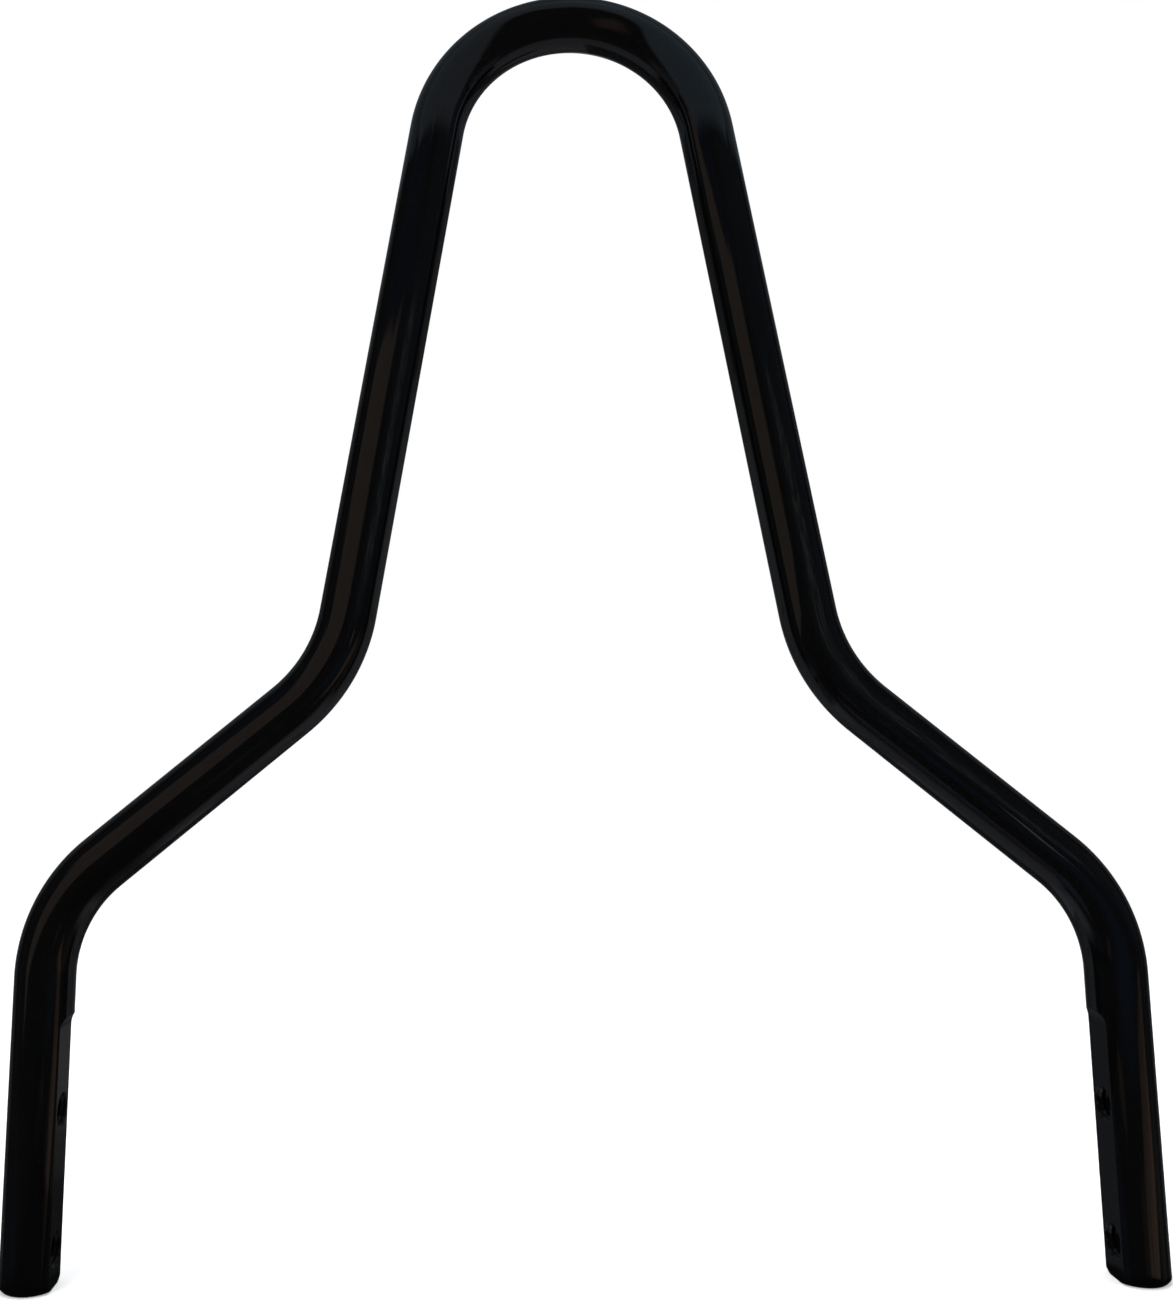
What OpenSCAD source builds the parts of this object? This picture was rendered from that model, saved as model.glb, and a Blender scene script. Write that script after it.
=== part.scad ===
// One-piece sissy bar: a single round bar bent in one plane into a hoop.
// Two upright legs stand at the sides, slope in to a narrow waist and rise
// as two masts that lean together under a round arch. The inner face of each
// leg has a milled flat with two tapped holes, where the bar bolts on.
// X runs across the hoop, Y through the bar's thickness and Z is up. The
// origin lies midway between the two cut ends, at their height.

/* [Bar] */
// Diameter of the round bar
bar_d = 15.875; // [14.5:0.125:20]
// Chamfer around each cut end
end_chamfer = 1.1; // [0.8:0.1:3]

/* [Hoop] */
// Spacing of the two legs, from centre to centre
leg_spacing = 287; // [230:1:340]
// Height of the lower corners, where leg and slope would meet unbent
leg_h = 95; // [90:1:160]
// Spacing of the two waist corners, where slope and mast would meet unbent
waist_spacing = 134; // [110:1:170]
// Height of the waist corners above the lower corners
slope_h = 62.5; // [50:0.5:110]
// Height of the hoop's top above the waist corners
mast_h = 201.5; // [170:0.5:420]

/* [Bends] */
// Bend radius at the lower corners, to the bar's centre line
leg_bend_r = 38; // [24:0.5:50]
// Bend radius at the waist, to the bar's centre line
waist_bend_r = 44; // [24:0.5:56]
// Bend radius of the arch, to the bar's centre line
arch_r = 40.5; // [26:0.5:50]
// Diameter that the bar loses where it is bent
bend_thinning = 0.02; // [0.01:0.01:0.3]

/* [Mounting flats] */
// Depth milled off the inner face of each leg
flat_depth = 1.9; // [1:0.1:3]
// Length of the flat at its full depth, from the cut end
flat_len = 64; // [56:0.5:72]
// Radius that the cutter leaves at the top of the flat
cutter_r = 4; // [2:0.5:8]

/* [Bolt holes] */
// Diameter of the tapped holes, over the thread
hole_d = 7.94; // [5:0.01:9]
// Metal left behind the straight part of each hole
hole_back = 5; // [3:0.5:8]
// Height of the lower hole above the cut end
hole_rise = 9.2; // [8:0.1:14]
// Spacing of the two holes in a leg
hole_pitch = 34; // [20:0.5:38]
// Bevel around the mouth of each hole
mouth_bevel = 0.35; // [0.1:0.05:0.6]
// Angle of the drill point that ends each hole
drill_angle = 118; // [110:1:135]

/* [Hidden] */
$fn = 96;
// How far a cut reaches past the surface that it opens
overcut = 1;

bar_r = bar_d / 2;
leg_x = leg_spacing / 2;
top_z = leg_h + slope_h + mast_h;
flat_x = bar_r - flat_depth;
hole_depth = bar_d - flat_depth - hole_back;
point_h = hole_d / 2 / tan(drill_angle / 2);

// Corners of the centre line's right half, as points across and up
leg_corner = [leg_x, leg_h];
waist_corner = [waist_spacing / 2, leg_h + slope_h];
arch_centre = [0, top_z - bar_r - arch_r];

// Angles of the slope and of the mast, which runs on to touch the arch
slope = waist_corner - leg_corner;
slope_angle = atan2(slope.y, slope.x);
to_arch = arch_centre - waist_corner;
mast_angle = atan2(to_arch.y, to_arch.x) - asin(arch_r / norm(to_arch));
mast_len = sqrt(norm(to_arch) ^ 2 - arch_r ^ 2);

// How far from its corner each bend starts and ends
leg_setback = leg_bend_r * tan((slope_angle - 90) / 2);
waist_setback = waist_bend_r * tan((slope_angle - mast_angle) / 2);

// Straight bar along Y from here, and what follows it
module straight(length) {
    rotate([-90, 0, 0])
        cylinder(d = bar_d, h = length);
    translate([0, length])
        children();
}

// Carries what follows round a bend, to the left where the turn is positive
module past_bend(r, turn) {
    side = sign(turn);
    translate([-side * r, 0])
        rotate(turn)
            translate([side * r, 0])
                children();
}

// Bent bar from here, as half a ring cut off at its turn, and what follows
module bend(r, turn) {
    reach = 2 * (r + bar_d);
    difference() {
        mirror([turn < 0 ? 1 : 0, 0, 0])
            translate([-r, 0])
                rotate_extrude(angle = 180)
                    translate([r, 0])
                        circle(d = bar_d - bend_thinning);
        past_bend(r, turn)
            translate([-reach, 0, -reach])
                cube(2 * reach);
    }
    past_bend(r, turn)
        children();
}

// Chamfered end of the bar from here
module cut_end() {
    rotate([-90, 0, 0])
        cylinder(d1 = bar_d, d2 = bar_d - 2 * end_chamfer, h = end_chamfer);
}

// Right half of the bar, from the middle of the arch down to the cut end
module half_hoop() {
    rotate(-90)
        bend(arch_r, mast_angle - 180)
            straight(mast_len - waist_setback)
                bend(waist_bend_r, slope_angle - mast_angle)
                    straight(norm(slope) - waist_setback - leg_setback)
                        bend(leg_bend_r, 90 - slope_angle)
                            straight(leg_h - leg_setback - end_chamfer)
                                cut_end();
}

// The whole bent bar, stood upright
module hoop() {
    translate([0, 0, top_z - bar_r])
        rotate([90, 0, 0]) {
            half_hoop();
            mirror([1, 0, 0])
                half_hoop();
        }
}

// Cutter's path along the inner face of the right leg
module flat_cut() {
    face_x = leg_x - flat_x;
    translate([face_x - 2 * cutter_r, -bar_d, -overcut])
        cube([2 * cutter_r, 2 * bar_d, flat_len + overcut]);
    translate([face_x - cutter_r, bar_d, flat_len])
        rotate([90, 0, 0])
            cylinder(r = cutter_r, h = 2 * bar_d);
}

// Drilled and bevelled hole into the flat of the right leg
module bolt_hole(height) {
    reach = mouth_bevel + overcut;
    translate([leg_x - flat_x, 0, height])
        rotate([0, 90, 0]) {
            translate([0, 0, -overcut])
                cylinder(d = hole_d, h = hole_depth + overcut);
            translate([0, 0, hole_depth])
                cylinder(d1 = hole_d, d2 = 0, h = point_h);
            translate([0, 0, -overcut])
                cylinder(d1 = hole_d + 2 * reach, d2 = hole_d, h = reach);
        }
}

// Flat and holes of the right leg
module mounting() {
    flat_cut();
    bolt_hole(hole_rise);
    bolt_hole(hole_rise + hole_pitch);
}

module sissy_bar() {
    color("#0d0d0f")
        difference() {
            hoop();
            mounting();
            mirror([1, 0, 0]) mounting();
        }
}

sissy_bar();
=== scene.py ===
import bpy
import math
import numpy as np
from mathutils import Matrix, Vector


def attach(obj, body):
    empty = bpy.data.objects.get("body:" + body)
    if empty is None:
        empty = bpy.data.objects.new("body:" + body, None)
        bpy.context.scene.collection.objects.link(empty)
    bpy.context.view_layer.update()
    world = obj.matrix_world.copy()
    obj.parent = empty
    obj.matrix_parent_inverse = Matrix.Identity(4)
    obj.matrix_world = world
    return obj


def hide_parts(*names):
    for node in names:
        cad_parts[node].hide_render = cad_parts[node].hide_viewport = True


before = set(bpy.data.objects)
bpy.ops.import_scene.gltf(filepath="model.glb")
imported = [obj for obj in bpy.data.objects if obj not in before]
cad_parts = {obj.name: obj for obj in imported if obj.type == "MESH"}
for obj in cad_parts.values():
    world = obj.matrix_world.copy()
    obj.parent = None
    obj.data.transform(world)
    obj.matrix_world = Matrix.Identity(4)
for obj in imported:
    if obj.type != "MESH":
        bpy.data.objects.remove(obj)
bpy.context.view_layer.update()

# ---------------------------------------------------------------- sizes, in millimetres
BAR_D = 15.875
BAR_R = BAR_D / 2
LEG_X = 143.5
LEG_H = 95.0
WAIST_X = 67.0
SLOPE_H = 62.5
MAST_H = 201.5
LEG_BEND_R = 38.0
WAIST_BEND_R = 44.0
ARCH_R = 40.5
CHAMFER = 1.1
END_ROUND = 0.15
FLAT_DEPTH = 1.9
FLAT_A = BAR_R - FLAT_DEPTH  # from the bar's middle to the flat
FLAT_LEN = 64.0
CUTTER_R = 4.0
HOLE_R = 3.97
HOLE_BACK = 5
HOLE_DEPTH = BAR_D - FLAT_DEPTH - HOLE_BACK
HOLE_Z = (9.2, 43.2)
MOUTH_BEVEL = 0.35
PITCH = 25.4 / 18
THREAD_DEPTH = 0.66
DRILL_HALF_ANGLE = 59  # degrees
MM = 0.001

# How the mesh is divided: a square round each hole is left to the hole's own mesh
PATCH = 4.68  # half the square's side
PATCH_STEPS = 8  # faces along half a side
ROUND_STEPS = 46  # faces from the flat's edge round to the back
THREAD_STEPS = 14  # rings in each turn of the thread
TINY = 1e-3  # step for the slopes that give the normals

FLAT_EDGE = math.acos(FLAT_A / BAR_R)
DOWN = np.array([0, 0, -1.0])
INWARDS = np.array([1.0, 0, 0])


def unit(angle):
    return np.array([math.cos(angle), math.sin(angle)])


def normalised(v):
    return v / np.linalg.norm(v, axis=-1, keepdims=True)


# The centre line of the right half, from the foot up to the top of the arch
leg_corner = np.array([LEG_X, LEG_H])
waist_corner = np.array([WAIST_X, LEG_H + SLOPE_H])
arch_centre = np.array([0, LEG_H + SLOPE_H + MAST_H - BAR_R - ARCH_R])
slope_vec = waist_corner - leg_corner
slope_angle = math.atan2(slope_vec[1], slope_vec[0])
to_arch = arch_centre - waist_corner
mast_angle = math.atan2(to_arch[1], to_arch[0]) - math.asin(ARCH_R / np.hypot(*to_arch))
mast_len = math.sqrt(to_arch @ to_arch - ARCH_R ** 2)
leg_set = LEG_BEND_R * math.tan((slope_angle - math.pi / 2) / 2)
waist_set = WAIST_BEND_R * math.tan((slope_angle - mast_angle) / 2)


def centre_line():
    """Height where the leg's bend starts, and the stations above it as (point, direction angle)."""
    out = []

    def line(a, b, angle, steps):
        for i in range(1, steps + 1):
            out.append((a + (b - a) * i / steps, angle))

    def bend(centre, radius, start, end, side, steps):
        for i in range(1, steps + 1):
            a = start + (end - start) * i / steps
            out.append((centre + side * radius * unit(a - math.pi / 2), a))

    p0 = leg_corner - np.array([0, leg_set])
    p1 = leg_corner + leg_set * unit(slope_angle)
    p2 = waist_corner - waist_set * unit(slope_angle)
    p3 = waist_corner + waist_set * unit(mast_angle)
    p4 = waist_corner + mast_len * unit(mast_angle)
    bend(p0 - np.array([LEG_BEND_R, 0]), LEG_BEND_R, math.pi / 2, slope_angle, 1, 34)
    line(p1, p2, slope_angle, 8)
    bend(p2 + WAIST_BEND_R * unit(slope_angle - math.pi / 2), WAIST_BEND_R, slope_angle, mast_angle, -1, 28)
    line(p3, p4, mast_angle, 16)
    bend(arch_centre, ARCH_R, mast_angle, math.pi, 1, 54)
    return p0[1], out


def patch_angle(i):
    """Angle of the i-th column of the square round a hole, counted from its middle."""
    return math.atan(PATCH * i / PATCH_STEPS / FLAT_A)


def columns():
    """Angles around the bar, 0 at the middle of the flat, closer together along the flat's edges."""
    flat = [patch_angle(i) for i in range(PATCH_STEPS + 1)]
    edge = [FLAT_EDGE + math.radians(d) for d in (-1.7, -1.1, -0.6, -0.2, 0.2, 0.6, 1.1, 1.8, 3.0)]
    rest = [edge[-1] + (math.pi - edge[-1]) * i / ROUND_STEPS for i in range(1, ROUND_STEPS + 1)]
    half = flat + edge + rest
    return np.array([-a for a in half[:0:-1]][1:] + half)


PSI = columns()
N = len(PSI)
PATCH_COLS = [int(np.argmin(np.abs(PSI - patch_angle(i)))) for i in range(-PATCH_STEPS, PATCH_STEPS + 1)]


# ---------------------------------------------------------------- the leg's surface
def smooth_min(a, b, reach):
    """The smaller of the two, rounded where they cross."""
    h = np.maximum(reach - np.abs(a - b), 0) / reach
    return np.minimum(a, b) - h * h * reach / 4


def cut_radius(psi, z):
    """Radius of the milled flat at that angle and height, large where it isn't cut."""
    uncut, least_cos, almost_r = 99.0, 0.2, CUTTER_R - 0.05
    dz = np.clip(z - FLAT_LEN, 0, CUTTER_R)
    a = FLAT_A + CUTTER_R - np.sqrt(np.maximum(CUTTER_R ** 2 - dz ** 2, 0))
    c = np.cos(psi)
    return np.where((c > least_cos) & (z - FLAT_LEN < almost_r), a / np.maximum(c, least_cos), uncut)


def leg_radius(psi, z):
    rho = smooth_min(np.full_like(z, BAR_R), cut_radius(psi, z), 0.14)
    return smooth_min(rho, BAR_R - CHAMFER + z, 0.25)


def leg_surface(psi, z):
    """Points of the leg's surface and their normals, in the leg's own frame: inwards, across, up."""
    def at(p, h):
        q = leg_radius(p, h)
        return np.stack([q * np.cos(p), q * np.sin(p), h], axis=-1)
    du = at(psi + TINY, z) - at(psi - TINY, z)
    dv = at(psi, z + TINY) - at(psi, z - TINY)
    return at(psi, z), normalised(np.cross(du, dv))


def leg_rows(top):
    """Heights of the leg's rows, for every column: they follow the flat's two curved ends.

    Also the indices of the rows along the lower edges of the holes' squares.
    """
    c = np.cos(PSI)
    inside = np.abs(PSI) < FLAT_EDGE
    low = np.where(inside, FLAT_A / np.maximum(c, 0.2), BAR_R) - (BAR_R - CHAMFER)
    reach = np.where(inside, CUTTER_R ** 2 - (FLAT_A + CUTTER_R - BAR_R * c) ** 2, 0)
    crease = FLAT_LEN + np.sqrt(np.maximum(reach, 0) + 0.35 ** 2)
    around_low = (-0.7, -0.5, -0.35, -0.22, -0.1, 0.02, 0.12, 0.22, 0.4, 0.7)
    around_crease = (-0.2, -0.12, -0.05, 0.02, 0.1, 0.2, 0.35)
    rows = [np.maximum(low + d, END_ROUND + 0.03 * (i + 1)) for i, d in enumerate(around_low)]

    def to(target, steps):
        start = rows[-1]
        rows.extend(start + (target - start) * (i / steps) for i in range(1, steps + 1))

    def level(z):
        return np.full(N, float(z))

    marks = []
    for z, steps in zip(HOLE_Z, (3, 12)):
        to(level(z - PATCH), steps)
        marks.append(len(rows) - 1)
        to(level(z + PATCH), 2 * PATCH_STEPS)
    to(level(FLAT_LEN - 0.3), 8)
    to(level(FLAT_LEN), 1)
    to(crease - 0.3, 12)
    rows.extend(crease + d for d in around_crease)
    to(level(71.5), 10)
    to(level(top), 3)
    return rows, marks


# ---------------------------------------------------------------- the mesh
def to_hoop(u, w, z):
    """A point of the leg's own frame in the frame of the hoop."""
    return np.array([LEG_X - u, -w, z])


def turned(n):
    return np.array([-n[0], -n[1], n[2]])


class Half:
    """The right half's vertices, their normals and its faces."""

    def __init__(self):
        self.verts, self.norms, self.quads, self.tris = [], [], [], []

    def add(self, p, n):
        self.verts.append(p)
        self.norms.append(n)
        return len(self.verts) - 1

    def leg_ring(self, points, normals):
        return [self.add(to_hoop(*p), turned(n)) for p, n in zip(points, normals)]

    def bar_ring(self, point, angle):
        """Plain round ring at a station of the centre line."""
        out = np.array([math.sin(angle), -math.cos(angle)])
        ring = []
        for p in PSI:
            n = np.array([-out[0] * math.cos(p), -math.sin(p), -out[1] * math.cos(p)])
            ring.append(self.add(np.array([point[0], 0, point[1]]) + BAR_R * n, n))
        return ring

    def end_rings(self):
        """The cut end, with its outer edge rounded a little."""
        corner, _ = leg_surface(PSI, np.zeros(N))
        side, side_n = leg_surface(PSI, np.full(N, END_ROUND))
        inner = corner * (1 - END_ROUND / np.linalg.norm(corner, axis=1, keepdims=True))
        rings = [self.leg_ring(q * inner, [DOWN] * N) for q in (0.35, 0.7, 0.93)]
        for t in (0, 0.25, 0.5, 0.75, 1):
            points = (1 - t) ** 2 * inner + 2 * t * (1 - t) * corner + t * t * side
            rings.append(self.leg_ring(points, normalised((1 - t) * DOWN + t * side_n)))
        return rings


def build_half():
    half = Half()
    centre = half.add(to_hoop(0, 0, 0), DOWN)
    rings = half.end_rings()
    top, line = centre_line()
    rows, marks = leg_rows(top)
    holes = [(len(rings) + m, len(rings) + m + 2 * PATCH_STEPS) for m in marks]
    rings.extend(half.leg_ring(*leg_surface(PSI, z)) for z in rows)
    rings.extend(half.bar_ring(point, angle) for point, angle in line)

    half.tris.extend((centre, rings[0][j], rings[0][(j + 1) % N]) for j in range(N))
    c0, c1 = PATCH_COLS[0], PATCH_COLS[-1]
    for i in range(len(rings) - 1):
        for j in range(N):
            if c0 <= j < c1 and any(a <= i < b for a, b in holes):
                continue
            k = (j + 1) % N
            half.quads.append((rings[i][j], rings[i][k], rings[i + 1][k], rings[i + 1][j]))
    for (a, b), height in zip(holes, HOLE_Z):
        edge = [rings[a][j] for j in range(c0, c1)] + [rings[i][c1] for i in range(a, b)]
        edge += [rings[b][j] for j in range(c1, c0, -1)] + [rings[i][c0] for i in range(b, a, -1)]
        drill(half, edge, height)
    return half, rings[-1]


def thread_radius(angle, depth):
    """Radius of the bevelled and tapped hole."""
    turn = (depth / PITCH - angle / (2 * math.pi)) % 1.0
    crest = np.clip((0.5 - np.abs(turn - 0.5)) * 2.5 - 0.12, 0, 1)
    fade = np.clip((HOLE_DEPTH - 0.6 - depth) / 0.8, 0, 1)
    r = HOLE_R - THREAD_DEPTH * (1 - fade) - THREAD_DEPTH * fade * crest
    return np.maximum(r, HOLE_R + MOUTH_BEVEL - depth)


def drill(half, edge, height):
    """Fills the square left in the flat with a bevelled, tapped and drilled hole."""
    across = np.array([-half.verts[i][1] for i in edge])
    up = np.array([half.verts[i][2] - height for i in edge])
    ang, square = np.arctan2(up, across), np.hypot(across, up)
    cos, sin = np.cos(ang), np.sin(ang)
    count = len(edge)
    last = edge

    def ring(radius, depth, normals):
        nonlocal last
        u = np.full(count, FLAT_A - depth)
        new = half.leg_ring(np.stack([u, radius * cos, height + radius * sin], axis=-1), normals)
        for i in range(count):
            k = (i + 1) % count
            half.quads.append((last[i], last[k], new[k], new[i]))
        last = new

    def tilted(degrees):
        """Normals that lean that far from the flat's own towards the hole's middle."""
        c, s = math.cos(math.radians(degrees)), math.sin(math.radians(degrees))
        return np.stack([np.full(count, c), -s * cos, -s * sin], axis=-1)

    mouth = HOLE_R + MOUTH_BEVEL
    for t in (0.35, 0.65, 0.88):
        ring(square + (mouth + 0.1 - square) * t, 0.0, tilted(0))
    for wider, depth, lean in ((0.09, 0.0, 0), (0.03, 0.01, 18), (-0.05, 0.06, 40)):
        ring(mouth + wider, depth, tilted(lean))

    first_depth = 0.12
    steps = int((HOLE_DEPTH - 0.15) / (PITCH / THREAD_STEPS))
    for i in range(steps + 1):
        d = first_depth + (HOLE_DEPTH - first_depth) * i / steps
        r = thread_radius(ang, d)
        by_depth = (thread_radius(ang, d + TINY) - thread_radius(ang, d - TINY)) / (2 * TINY)
        by_angle = (thread_radius(ang + TINY, d) - thread_radius(ang - TINY, d)) / (2 * TINY)
        inward = np.stack([-by_depth, -(cos + by_angle / r * sin), -(sin - by_angle / r * cos)], axis=-1)
        ring(r, d, normalised(inward))

    core = HOLE_R - THREAD_DEPTH
    point = core / math.tan(math.radians(DRILL_HALF_ANGLE))
    for t in (0.04, 0.5, 0.92):
        ring(core * (1 - t), HOLE_DEPTH + point * t, tilted(90 - DRILL_HALF_ANGLE))
    tip = half.add(to_hoop(FLAT_A - HOLE_DEPTH - point, 0, height), turned(INWARDS))
    half.tris.extend((last[i], last[(i + 1) % count], tip) for i in range(count))


def make_bar():
    """The right half and its mirror image, which share the ring at the top of the arch."""
    half, apex = build_half()
    verts, norms = half.verts, half.norms
    shared = set(apex)
    flip = np.array([-1, 1, 1])
    mirrored = []
    for i in range(len(verts)):
        if i in shared:
            mirrored.append(i)
        else:
            mirrored.append(len(verts))
            verts.append(verts[i] * flip)
            norms.append(norms[i] * flip)
    faces = half.quads + half.tris
    faces += [tuple(mirrored[i] for i in reversed(f)) for f in faces]
    mesh = bpy.data.meshes.new("black_bar")
    mesh.from_pydata([tuple(v * MM) for v in verts], [], faces)
    mesh.polygons.foreach_set("use_smooth", [True] * len(mesh.polygons))
    mesh.update()
    mesh.normals_split_custom_set_from_vertices([tuple(v) for v in norms])
    obj = bpy.data.objects.new("black_bar", mesh)
    bpy.context.scene.collection.objects.link(obj)
    return obj


# ---------------------------------------------------------------- materials
class Tree:
    """A small writer of shader nodes."""

    def __init__(self, owner):
        owner.use_nodes = True
        self.tree = owner.node_tree
        self.tree.nodes.clear()

    def node(self, kind, inputs=None, **settings):
        node = self.tree.nodes.new("ShaderNode" + kind)
        for k, v in settings.items():
            setattr(node, k, v)
        for k, v in (inputs or {}).items():
            self.put(node.inputs[k], v)
        return node

    def put(self, socket, value):
        if isinstance(value, bpy.types.NodeSocket):
            self.tree.links.new(value, socket)
        elif isinstance(value, tuple) and socket.type == "RGBA":
            socket.default_value = (*value, 1)
        else:
            socket.default_value = value

    def math(self, op, *values):
        return self.node("Math", dict(enumerate(values)), operation=op).outputs[0]

    def product(self, first, *others):
        for other in others:
            first = self.math("MULTIPLY", first, other)
        return first

    def size(self, value):
        return self.math("ABSOLUTE", value)

    def past(self, value, start):
        """How far the value is past the start, 0 before it."""
        return self.math("MAXIMUM", self.math("SUBTRACT", value, start), 0)

    def before(self, value, end):
        """How far the value is before the end, below 0 there, and 0 past it."""
        return self.math("MINIMUM", self.math("SUBTRACT", value, end), 0)

    def ramp(self, value, low, high):
        """Smooth step from 0 at low to 1 at high; low may be the larger."""
        flip = low > high
        low, high = min(low, high), max(low, high)
        ends = {"From Min": low, "From Max": high, "To Min": float(flip), "To Max": float(not flip)}
        return self.node("MapRange", {"Value": value, **ends}, interpolation_type="SMOOTHSTEP").outputs[0]

    def box(self, *sides):
        """Product of soft sides, each (value, low, high, softness) with None for an open end."""
        parts = []
        for value, low, high, soft in sides:
            if low is not None:
                parts.append(self.ramp(value, low - soft, low + soft))
            if high is not None:
                parts.append(self.ramp(value, high + soft, high - soft))
        return self.product(*parts)

    def over(self, under, colour, mask):
        return self.node("Mix", {0: mask, 6: under, 7: colour}, data_type="RGBA").outputs[2]

    def panels(self, light, *panels):
        """Soft panels laid over the light in turn, each (colour, side, side ...)."""
        for colour, *sides in panels:
            light = self.over(light, colour, self.box(*sides))
        return light

    def noise(self, vector, scale, detail=2.0, roughness=0.5):
        return self.node("TexNoise", {"Vector": vector, "Scale": scale, "Detail": detail, "Roughness": roughness})

    def channels(self, texture):
        return self.node("SeparateColor", {0: texture.outputs["Color"]}).outputs

    def sway(self, vector, scale, values, amounts):
        """The values, bent a little by slow noise, so that edges laid along them aren't straight."""
        bends = self.channels(self.noise(vector, scale, 3.0))
        return [self.math("MULTIPLY_ADD", self.math("SUBTRACT", bend, 0.5), amount, value)
                for bend, value, amount in zip(bends, values, amounts)]

    def stretch(self, vector, x, y, z):
        return self.node("Mapping", {"Vector": vector, "Scale": (x, y, z)}).outputs[0]

    def position(self):
        """Where the point lies on its object, as a vector and as its parts, in metres."""
        pos = self.node("TexCoord").outputs["Object"]
        return pos, self.node("SeparateXYZ", {0: pos}).outputs

    def in_mm(self, value):
        return self.math("MULTIPLY", value, 1000)

    def emission(self, colour, strength=1.0):
        return self.node("Emission", {"Color": colour, "Strength": strength}).outputs[0]

    def clear(self):
        return self.node("BsdfTransparent").outputs[0]

    def blend(self, mask, first, second):
        return self.node("MixShader", {0: mask, 1: first, 2: second}).outputs[0]

    def surface(self, shader, output="OutputMaterial"):
        self.node(output, {"Surface": shader})


def new_material(name):
    mat = bpy.data.materials.new(name)
    return mat, Tree(mat)


def black_coat():
    """Deep gloss black paint: faint waviness, faint smears, a little dust; the milled flats are duller."""
    mat, t = new_material("black_coat")
    pos, (x, y, z) = t.position()
    smear = t.noise(t.stretch(pos, 1, 1, 0.35), 70.0, 4.0, 0.6).outputs["Fac"]
    fine = t.noise(pos, 1400.0).outputs["Fac"]
    flat = t.box((t.size(x), 0.13741, 0.13752, 0.00002), (z, None, 0.0675, 0.0004), (t.size(y), None, 0.0053, 0.0001))
    rough = t.math("MULTIPLY_ADD", t.ramp(smear, 0.45, 0.75), 0.045, 0.028)
    rough = t.math("MULTIPLY_ADD", fine, 0.012, rough)
    rough = t.math("MULTIPLY_ADD", flat, 0.09, rough)
    dust = t.node("TexVoronoi", {"Vector": pos, "Scale": 420.0, "Randomness": 1.0}, feature="F1")
    pick = t.channels(dust)
    speck = t.product(t.ramp(dust.outputs["Distance"], 0.075, 0.03), t.ramp(pick[0], 0.955, 0.965))
    body = t.over((0.0005, 0.0005, 0.00055), (0.0011, 0.0011, 0.0012), smear)
    tint = t.over((0.030, 0.030, 0.030), (0.012, 0.028, 0.070), t.ramp(pick[1], 0.45, 0.55))
    colour = t.over(body, tint, speck)
    peel = t.noise(pos, 330.0, 2.0, 0.4).outputs["Fac"]
    wave = t.noise(pos, 60.0, 1.0).outputs["Fac"]
    height = t.math("MULTIPLY_ADD", wave, 3.0, t.math("MULTIPLY_ADD", speck, 3.0, peel))
    bump = t.node("Bump", {"Strength": 1.0, "Distance": 0.0000016, "Height": height}).outputs[0]
    coat = t.node("BsdfPrincipled", {"Base Color": colour, "Roughness": rough, "IOR": 1.5, "Normal": bump})
    t.surface(coat.outputs[0])
    return mat


bar = make_bar()
bar.data.materials.append(black_coat())
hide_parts("sissy_bar")
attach(bar, "root")


# ---------------------------------------------------------------- floor
def sheet(name, corners, material):
    mesh = bpy.data.meshes.new(name)
    mesh.from_pydata(corners, [], [tuple(range(len(corners)))])
    obj = bpy.data.objects.new(name, mesh)
    bpy.context.scene.collection.objects.link(obj)
    mesh.materials.append(material)
    return obj


def floor_material():
    mat, t = new_material("pale_floor")
    pos, (x, y, z) = t.position()
    path = t.node("LightPath").outputs
    pale = t.node("BsdfDiffuse", {"Color": (0.8, 0.8, 0.8)}).outputs[0]
    near = t.node("AddShader", {0: pale, 1: t.emission((1.0, 1.0, 1.0), 0.3)}).outputs[0]
    distance = t.node("VectorMath", {0: pos}, operation="LENGTH").outputs["Value"]
    seen = t.blend(t.ramp(distance, 0.35, 1.1), near, t.emission((1.0, 1.0, 1.0)))
    # glossy rays see the studio's own floor through this one, except for painted shade: a dark sheet round each foot
    # and a dimmer patch round the left leg
    off = t.math("MULTIPLY", t.math("SUBTRACT", t.size(x), LEG_X * MM), 1.5)
    foot = t.math("SQRT", t.math("ADD", t.product(off, off), t.product(y, y)))
    patch = t.product(t.box((x, -0.16, -0.06, 0.012), (y, None, 0.092, 0.01)), 0.65)
    shade = t.math("MAXIMUM", t.ramp(foot, 0.020, 0.0155), patch)
    gloss = t.blend(shade, t.clear(), t.emission((0.012, 0.012, 0.013)))
    t.surface(t.blend(path["Is Camera Ray"], t.blend(path["Is Glossy Ray"], pale, gloss), seen))
    return mat


REACH, FLOOR_Z = 4.0, -0.0001
sheet("floor", [(-REACH, -REACH, FLOOR_Z), (REACH, -REACH, FLOOR_Z), (REACH, REACH, FLOOR_Z), (-REACH, REACH, FLOOR_Z)],
      floor_material())


# ---------------------------------------------------------------- what the gloss reflects: painted reflections on glowing cards
def card(name, corners, material):
    """A glowing sheet that only glossy rays see, so it paints reflections and is no lamp."""
    obj = sheet(name, corners, material)
    obj.visible_camera = obj.visible_diffuse = obj.visible_shadow = False
    obj.visible_transmission = obj.visible_volume_scatter = False


def upright_x(x, y, z):
    """Corners of an upright card across the hoop, at that y."""
    return [(x[0], y, z[0]), (x[1], y, z[0]), (x[1], y, z[1]), (x[0], y, z[1])]


def upright_y(x, y, z):
    """Corners of an upright card from front to back, at that x."""
    return [(x, y[0], z[0]), (x, y[1], z[0]), (x, y[1], z[1]), (x, y[0], z[1])]


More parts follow.
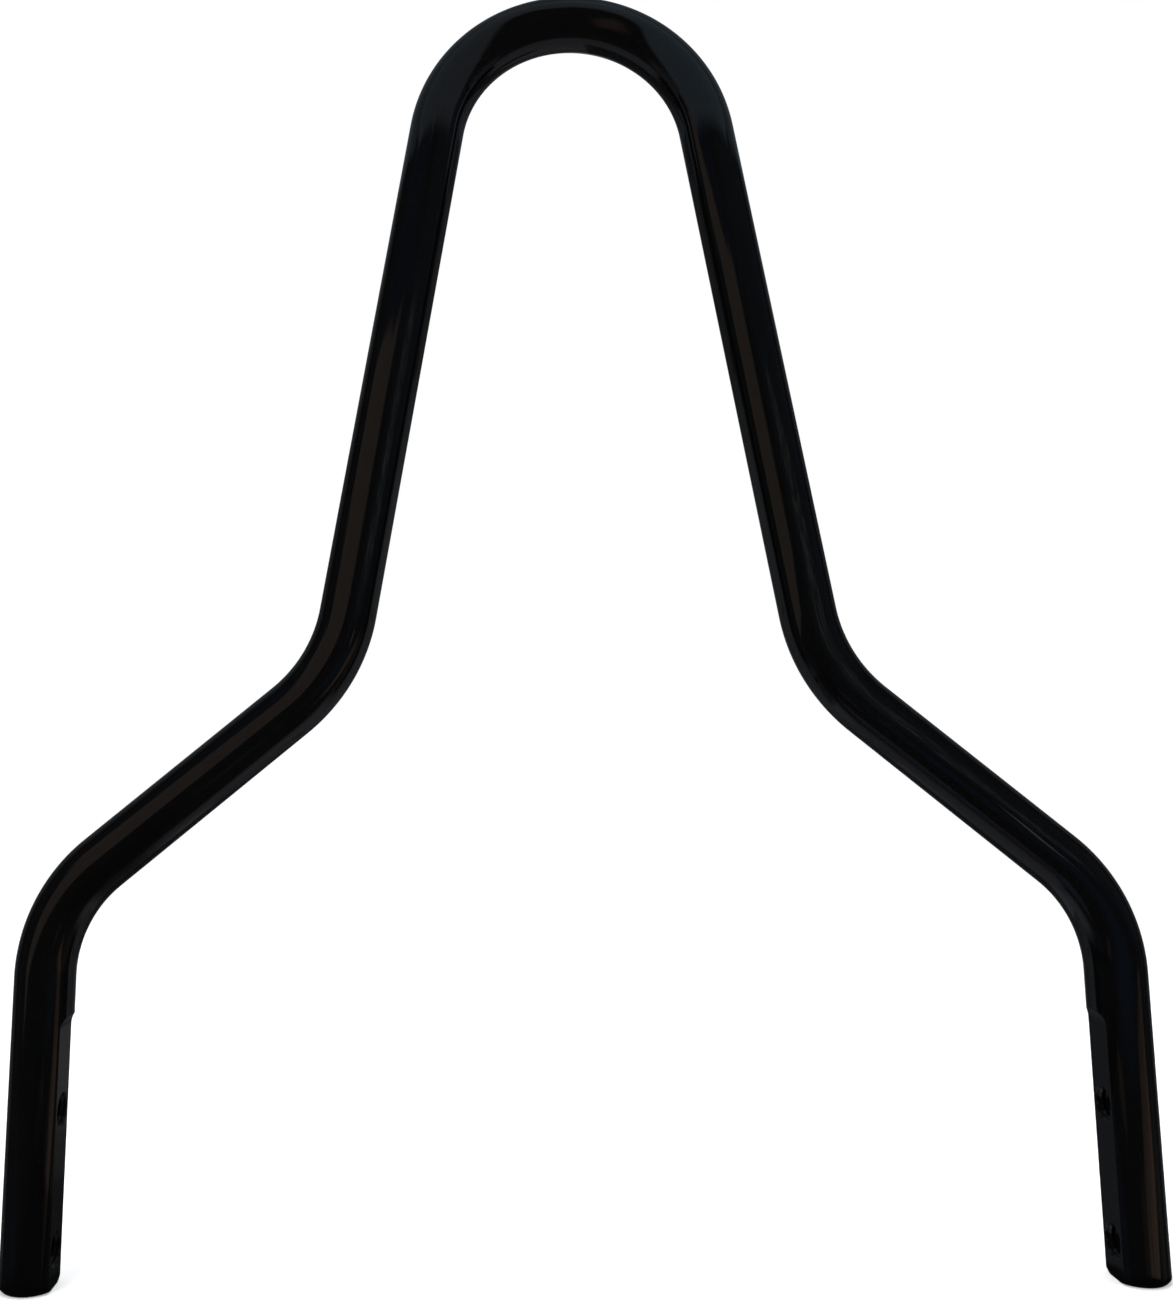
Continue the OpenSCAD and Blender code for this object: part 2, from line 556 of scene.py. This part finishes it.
def front_material():
    """The front of the studio as painted reflections, in millimetres: open light above, a warm wall, a dark middle,
    leaves.
    """
    mat, t = new_material("studio_front")
    pos, xyz = t.position()
    x0, z0 = t.in_mm(xyz[0]), t.in_mm(xyz[2])
    x, z = t.sway(pos, 9.0, (x0, z0), (40, 30))
    side = t.size(x)
    # a cool glow above the wall and in the middle
    light = t.panels(
        (0.034, 0.036, 0.038),
        ((0.042, 0.052, 0.075), (x, None, 60, 60), (z, 330, None, 40)),
        ((0.050, 0.060, 0.072), (x, 60, None, 60), (z, 120, None, 60)),
        ((0.046, 0.070, 0.112), (x, 30, 360, 110), (z, 0, 72, 40)))
    # leaves
    spots = t.noise(t.stretch(pos, 1.0, 1.0, 1.8), 62.0, 5.0, 0.72)
    hue = t.over((0.32, 0.50, 0.38), (0.62, 0.56, 0.66), t.ramp(t.channels(spots)[2], 0.44, 0.58))
    leaf = t.product(t.ramp(spots.outputs["Fac"], 0.51, 0.61), t.box((x, 140, 430, 35), (z, 170, 345, 30)))
    light = t.over(light, hue, leaf)
    # warm wall
    top = t.math("MULTIPLY_ADD", t.before(x, -150), -0.38, 362)
    edge = t.math("MULTIPLY_ADD", t.before(z, 205), 2.2, -66)
    gone = t.box((x, None, -640, 30), (z, None, 430, 20))
    wall = t.product(t.ramp(t.math("SUBTRACT", top, z), -9, 9), t.ramp(t.math("SUBTRACT", edge, x), -22, 26),
                     t.math("SUBTRACT", 1, gone))
    light = t.over(light, (0.25, 0.20, 0.175), wall)
    # warm light low on the right, brighter lower down and in upright bands
    bands = t.noise(t.stretch(pos, 1.0, 1.0, 0.12), 16.0).outputs["Fac"]
    warm = t.over((0.21, 0.145, 0.112), (0.40, 0.275, 0.205), t.ramp(z, -20, -125))
    warm = t.over(warm, (0.19, 0.14, 0.112), t.product(t.ramp(bands, 0.44, 0.60), 0.55))
    lean = t.math("MULTIPLY_ADD", t.past(z, -80), -1.5, x)
    light = t.panels(
        light,
        ((0.10, 0.082, 0.072), (x, 172, None, 25), (z, -175, -55, 12)),
        (warm, (lean, 262, None, 30), (z, -175, -5, 14)))
    # a dim and a bright spot, and a bluish corner low on the left
    light = t.panels(
        light,
        ((0.13, 0.10, 0.085), (x, -110, 0, 20), (z, -45, -12, 8)),
        ((0.62, 0.62, 0.66), (x0, 226, 250, 8), (z0, 72, 112, 10)),
        ((0.048, 0.058, 0.082), (x, None, -230, 40), (z, None, -120, 15)))
    # open light above, with a dark gap
    edge = t.math("MULTIPLY_ADD", side, -0.45, t.math("SUBTRACT", z, 431))
    edge = t.math("SUBTRACT", edge, t.past(side, 560))
    light = t.over(light, (0.30, 0.345, 0.39), t.ramp(edge, -9, 9))
    gap = t.math("MULTIPLY_ADD", t.math("SUBTRACT", z, 430), -0.6, t.size(t.math("SUBTRACT", x, 15)))
    light = t.panels(light, ((0.045, 0.042, 0.042), (gap, None, 60, 14), (z, 395, None, 20)))
    t.surface(t.emission(light))
    return mat


def near_material():
    """Painted reflections for the arch: open light above the masts, with a dark oval that holds a warm spot; clear
    below. In millimetres.
    """
    mat, t = new_material("studio_near")
    pos, xyz = t.position()
    x, z = t.sway(pos, 90.0, (t.in_mm(xyz[0]), t.in_mm(xyz[2])), (5, 5))
    side = t.size(x)
    bottom = t.math("MULTIPLY_ADD", t.past(side, 57), 0.9, 317.5)
    bottom = t.math("MULTIPLY_ADD", t.ramp(side, 24, 18), 9, bottom)
    u = t.math("MULTIPLY", t.math("ADD", x, 1), 1 / 21.5)
    v = t.math("MULTIPLY", t.math("SUBTRACT", z, 341.5), 1 / 18)
    oval = t.math("ADD", t.math("POWER", t.size(u), 3.0), t.math("POWER", t.size(v), 3.0))
    light = t.over((0.205, 0.235, 0.27), (0.215, 0.28, 0.335), t.ramp(x, -25, 25))
    light = t.over(light, (0.045, 0.042, 0.042), t.ramp(oval, 1.3, 0.8))
    light = t.panels(light, ((0.20, 0.145, 0.125), (x, 7, 14, 2), (z, 343, 350, 2)))
    t.surface(t.blend(t.ramp(t.math("SUBTRACT", z, bottom), -3, 6), t.clear(), t.emission(light)))
    return mat


def under_material():
    """Painted reflection for the arch's underside: light below the arch that shines up only, with a dark middle. In
    millimetres.
    """
    mat, t = new_material("studio_under")
    pos, xyz = t.position()
    x = t.in_mm(xyz[0])
    x = t.math("MAXIMUM", t.math("MULTIPLY", x, -1), t.math("MULTIPLY", x, 0.75))
    x, y = t.sway(pos, 30.0, (x, t.in_mm(xyz[1])), (8, 8))
    strip = t.over((0.215, 0.225, 0.25), (0.055, 0.058, 0.065), t.ramp(y, 5, 130))
    light = t.panels((0.05, 0.047, 0.045), ((0.12, 0.13, 0.15), (x, 22, None, 4), (y, None, -14, 4)))
    light = t.over(light, strip, t.product(t.ramp(x, 46, 22), t.ramp(y, -14, -6)))
    t.surface(t.blend(t.node("NewGeometry").outputs["Backfacing"], t.emission(light), t.clear()))
    return mat


def side_material():
    """Painted reflection: dimmer light beside the tops of the masts, clear below a soft, sloping edge."""
    mat, t = new_material("studio_side")
    _, (x, y, z) = t.position()
    rise = t.math("MULTIPLY", t.math("MINIMUM", t.math("MAXIMUM", y, 0), 0.06), 0.25)
    t.surface(t.blend(t.ramp(t.math("ADD", z, rise), 0.327, 0.337), t.clear(), t.emission((0.115, 0.14, 0.16))))
    return mat


def divider_material():
    """Painted reflection on the hoop's inner sides: a dim light along the middle of the hoop, which only the hoop's
    inner sides face.
    """
    mat, t = new_material("studio_divider")
    pos, (x, y, z) = t.position()
    depth = t.math("DIVIDE", y, t.math("MULTIPLY_ADD", t.ramp(z, 0.15, 0.05), 1.4, 1.0))
    light = t.over((0.165, 0.175, 0.195), (0.072, 0.075, 0.082), t.ramp(depth, 0.015, 0.085))
    spots = t.noise(t.stretch(pos, 1, 0.5, 1), 34.0, 3.0, 0.6).outputs["Fac"]
    light = t.over(light, (0.05, 0.055, 0.05), t.product(t.ramp(spots, 0.58, 0.68), 0.7))
    level = t.math("MULTIPLY_ADD", t.ramp(z, 0.205, 0.265), -0.5, 1.0)
    level = t.math("MULTIPLY_ADD", t.ramp(z, 0.305, 0.318), -0.2, level)
    t.surface(t.emission(light, level))
    return mat


NEAR_Y, UNDER_Z, SIDE_X = -0.014, 0.305, 0.085
card("studio_front", upright_x((-0.85, 0.85), -0.3, (-0.25, 0.9)), front_material())
card("studio_near", upright_x((-0.3, 0.3), NEAR_Y, (0.30, 0.8)), near_material())
card("studio_under", [(-0.2, -0.25, UNDER_Z), (0.2, -0.25, UNDER_Z), (0.2, 0.3, UNDER_Z), (-0.2, 0.3, UNDER_Z)],
     under_material())
beside = side_material()
for name, x in (("studio_side_left", -SIDE_X), ("studio_side_right", SIDE_X)):
    card(name, upright_y(x, (NEAR_Y + 0.0001, 0.1), (0.3, 0.6)), beside)
card("studio_divider",
     [(0, 0.045, -0.06), (0, 0.22, -0.06), (0, 0.22, 0.325), (0, 0.009, 0.325), (0, 0.009, 0.1), (0, 0.045, 0.06)],
     divider_material())


def studio_world():
    """White for the camera; for other rays a dim studio, in degrees.

    Azimuth is 0 in front of the object and 90 to its right; elevation is 0 level and 90 straight up.
    """
    world = bpy.data.worlds.new("studio")
    bpy.context.scene.world = world
    t = Tree(world)
    way = t.node("TexCoord").outputs["Generated"]
    x, y, z = t.node("SeparateXYZ", {0: way}).outputs
    degrees = 180 / math.pi
    az = t.math("MULTIPLY", t.math("ARCTAN2", x, t.math("MULTIPLY", y, -1)), degrees)
    el = t.math("MULTIPLY", t.math("ARCSINE", z), degrees)
    az, el = t.sway(way, 4.0, (az, el), (8, 4))
    side = t.size(az)
    light = t.panels(
        (0.036, 0.038, 0.043),
        # both sides, overhead and behind
        ((0.065, 0.068, 0.074), (side, 112, 150, 5), (el, -30, None, 8)),
        ((0.018, 0.019, 0.021), (side, 95, 109, 5), (el, -30, None, 8)),
        ((0.17, 0.20, 0.23), (el, 47.5, None, 2)),
        ((0.05, 0.047, 0.047), (side, None, 24, 4), (el, None, 76, 3)),
        ((0.10, 0.115, 0.13), (side, 130, None, 6), (el, 19, None, 4)),
        # right
        ((0.048, 0.060, 0.084), (az, 30, 96, 6), (el, 0, 30, 4)),
        ((0.085, 0.074, 0.066), (az, 68, 92, 6), (el, -32, -13, 3)),
        # low on the left, low on the right, underneath and low in front
        ((0.25, 0.265, 0.31), (az, -150, -75, 14), (el, -64, -32, 8)),
        ((0.25, 0.25, 0.265), (az, 75, 145, 12), (el, -64, -38, 8)),
        ((0.22, 0.225, 0.25), (el, None, -63, 5)),
        ((0.12, 0.13, 0.18), (az, -55, -18, 8), (el, -60, -35, 6)),
        # behind, on the right, on the left and in the middle
        ((0.040, 0.041, 0.043), (az, 145, None, 8), (el, -30, 12, 6)),
        ((0.095, 0.096, 0.099), (az, 145, None, 8), (el, -14, None, 0.6), (el, None, 12, 6)),
        ((0.050, 0.057, 0.066), (az, None, -145, 8), (el, -30, 12, 6)),
        ((0.22, 0.235, 0.25), (side, 175, None, 2), (el, -10, 40, 3)))
    studio = t.node("Background", {"Color": light}).outputs[0]
    white = t.node("Background", {"Color": (1.0, 1.0, 1.0)}).outputs[0]
    t.surface(t.blend(t.node("LightPath").outputs["Is Camera Ray"], studio, white), "OutputWorld")


studio_world()


# ---------------------------------------------------------------- soft lamps for the matt light
def lamp(name, location, target, size, power):
    data = bpy.data.lights.new(name, "AREA")
    data.shape = "RECTANGLE"
    data.size, data.size_y = size
    data.energy = power
    obj = bpy.data.objects.new(name, data)
    obj.location = location
    obj.rotation_euler = (Vector(target) - Vector(location)).to_track_quat("-Z", "Y").to_euler()
    obj.visible_glossy = obj.visible_camera = False
    bpy.context.scene.collection.objects.link(obj)


lamp("key", (-1.2, -1.6, 1.9), (0, 0, 0.15), (1.4, 1.4), 40)
lamp("fill", (1.6, -1.3, 1.4), (0, 0, 0.15), (1.4, 1.4), 25)
lamp("top", (0.0, 0.4, 2.2), (0, 0, 0.1), (2.0, 2.0), 45)

# ---------------------------------------------------------------- camera
WIDTH, HEIGHT = 1173, 1300  # pixels
FOCAL, CENTRE_X, CENTRE_Y = 1350.0, 488.9, 529.3  # pixels
EYE = (-0.0297757, -0.3758272, 0.1362610)
PITCH_ANGLE, YAW, ROLL = -0.161635, 0.012931, -0.002977

cam_data = bpy.data.cameras.new("camera")
cam_data.sensor_fit = "AUTO"
cam_data.sensor_width = 36
cam_data.lens = FOCAL / HEIGHT * cam_data.sensor_width
cam_data.shift_x = (WIDTH / 2 - CENTRE_X) / HEIGHT
cam_data.shift_y = (CENTRE_Y - HEIGHT / 2) / HEIGHT
cam_data.clip_start, cam_data.clip_end = 0.01, 50
camera = bpy.data.objects.new("camera", cam_data)
bpy.context.scene.collection.objects.link(camera)
bpy.context.scene.camera = camera

(cp, sp), (cy, sy), (cr, sr) = unit(PITCH_ANGLE), unit(YAW), unit(ROLL)
rolled = np.array([[cr, 0, sr], [0, 1, 0], [-sr, 0, cr]])
pitched = np.array([[1, 0, 0], [0, cp, -sp], [0, sp, cp]])
yawed = np.array([[cy, -sy, 0], [sy, cy, 0], [0, 0, 1]])
right, ahead, up = rolled @ pitched @ yawed
camera.matrix_world = Matrix([(right[i], up[i], -ahead[i], EYE[i]) for i in range(3)] + [(0, 0, 0, 1)])

bpy.context.scene.view_settings.view_transform = "Standard"
